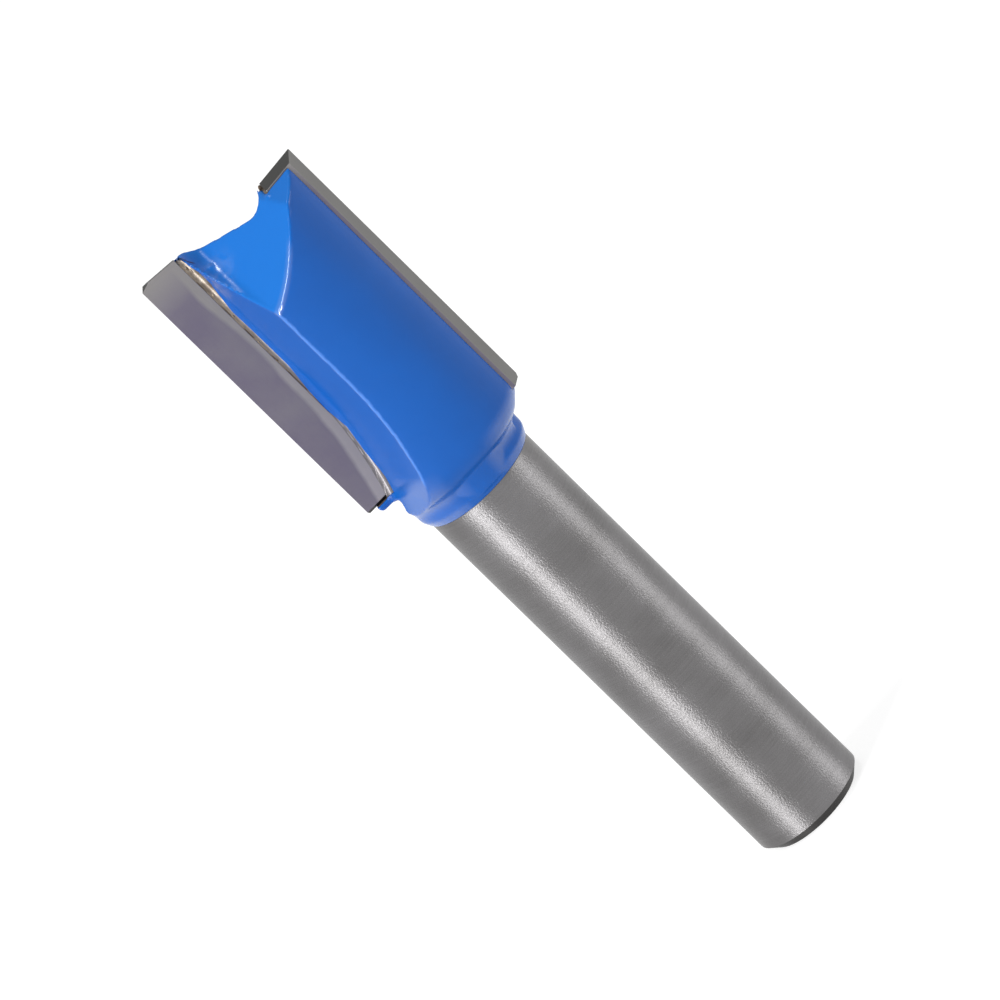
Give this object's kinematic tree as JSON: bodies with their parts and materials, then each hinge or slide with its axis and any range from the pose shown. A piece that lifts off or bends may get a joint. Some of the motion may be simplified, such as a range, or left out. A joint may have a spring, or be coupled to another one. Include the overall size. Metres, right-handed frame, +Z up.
{
  "type": "router bit",
  "caption": "straight plunge-cutting router bit with brazed carbide tips on a painted head and a plain ground shank",
  "frame": {"origin": "centre of the shank's flat end, on the surface that the bit stands on", "axes": "+Z up the axis from the shank to the cutting end, +X to the right as the picture's camera sees it, +Y away from that camera and square to the rake faces"},
  "size_m": [0.01, 0.0092, 0.0427],
  "materials": {
    "ground_steel": "satin centreless-ground steel with fine rings round the axis",
    "carbide": "cemented carbide, finely ground, dull grey with a purple cast",
    "braze": "dull tan brazing alloy",
    "blue_paint": "thick glossy blue coat, pooled in the corners"
  },
  "bodies": {
    "root": {"steel_body": "ground_steel", "carbide_tip_1": "carbide", "carbide_tip_2": "carbide", "braze_joint_1": "braze", "braze_joint_2": "braze", "paint_coat": "blue_paint"}
  },
  "joints": []
}
